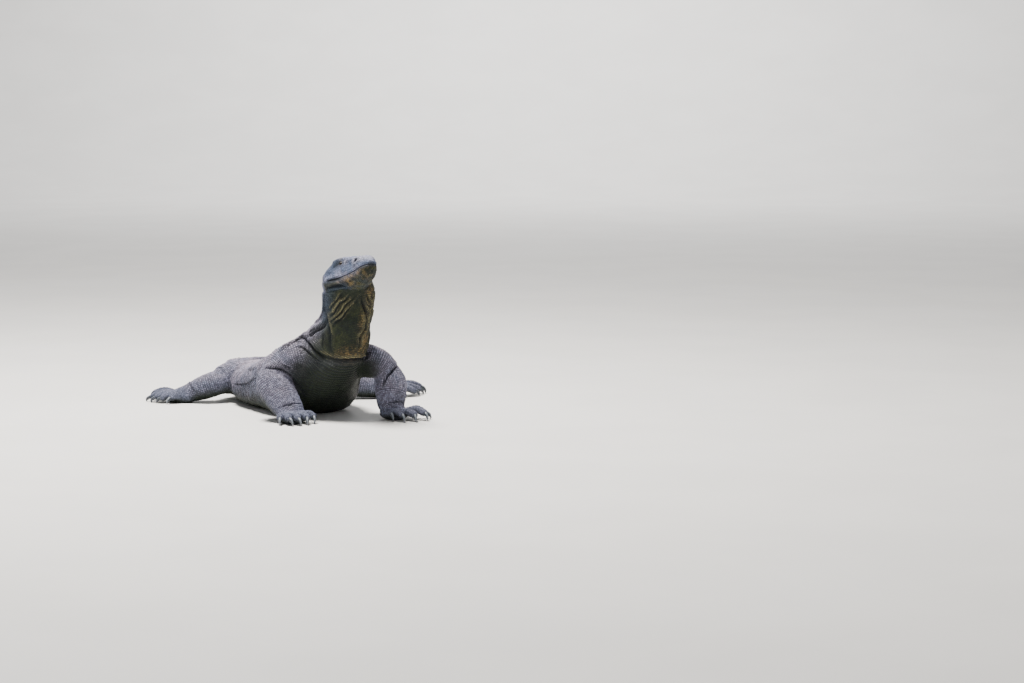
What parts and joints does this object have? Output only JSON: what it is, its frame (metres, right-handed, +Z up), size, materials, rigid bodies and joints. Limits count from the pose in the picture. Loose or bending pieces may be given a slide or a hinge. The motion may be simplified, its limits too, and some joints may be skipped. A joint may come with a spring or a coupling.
{
  "type": "komodo dragon",
  "caption": "Still, life-size komodo dragon lying on its belly with raised chest and neck, forefeet planted, hind legs spread and tail laid on the floor.",
  "frame": {"origin": "on the floor, in the flat under the belly, at the middle of the body's width", "axes": "+Z up, head towards -Y, tail towards +Y, the animal's left side towards +X"},
  "size_m": [1.0594, 2, 0.6165],
  "materials": {
    "body_hide": "matte beaded scales, dusty pinkish grey",
    "leg_hide": "matte beaded scales, blue grey",
    "head_hide": "matte fine scales, pale lilac grey",
    "throat_hide": "matte folded hide, ochre brown and olive",
    "eye": "wet gloss, dark brown",
    "claw": "satin horn, pale grey"
  },
  "bodies": {
    "root": {"head": "head_hide", "lower_jaw": "throat_hide", "neck": "throat_hide", "trunk": "body_hide", "tail_base": "body_hide", "tail_middle": "body_hide", "tail_tip": "body_hide", "upper_arm_right": "leg_hide", "forearm_right": "leg_hide", "hand_right": "leg_hide", "thigh_right": "leg_hide", "shank_right": "leg_hide", "foot_right": "leg_hide", "upper_arm_left": "leg_hide", "forearm_left": "leg_hide", "hand_left": "leg_hide", "thigh_left": "leg_hide", "shank_left": "leg_hide", "foot_left": "leg_hide", "eye_left": "eye", "eye_right": "eye", "hand_right_claw_1": "claw", "hand_right_claw_2": "claw", "hand_right_claw_3": "claw", "hand_right_claw_4": "claw", "hand_right_claw_5": "claw", "hand_left_claw_1": "claw", "hand_left_claw_2": "claw", "hand_left_claw_3": "claw", "hand_left_claw_4": "claw", "hand_left_claw_5": "claw", "foot_right_claw_1": "claw", "foot_right_claw_2": "claw", "foot_right_claw_3": "claw", "foot_right_claw_4": "claw", "foot_right_claw_5": "claw", "foot_left_claw_1": "claw", "foot_left_claw_2": "claw", "foot_left_claw_3": "claw", "foot_left_claw_4": "claw", "foot_left_claw_5": "claw"}
  },
  "joints": []
}
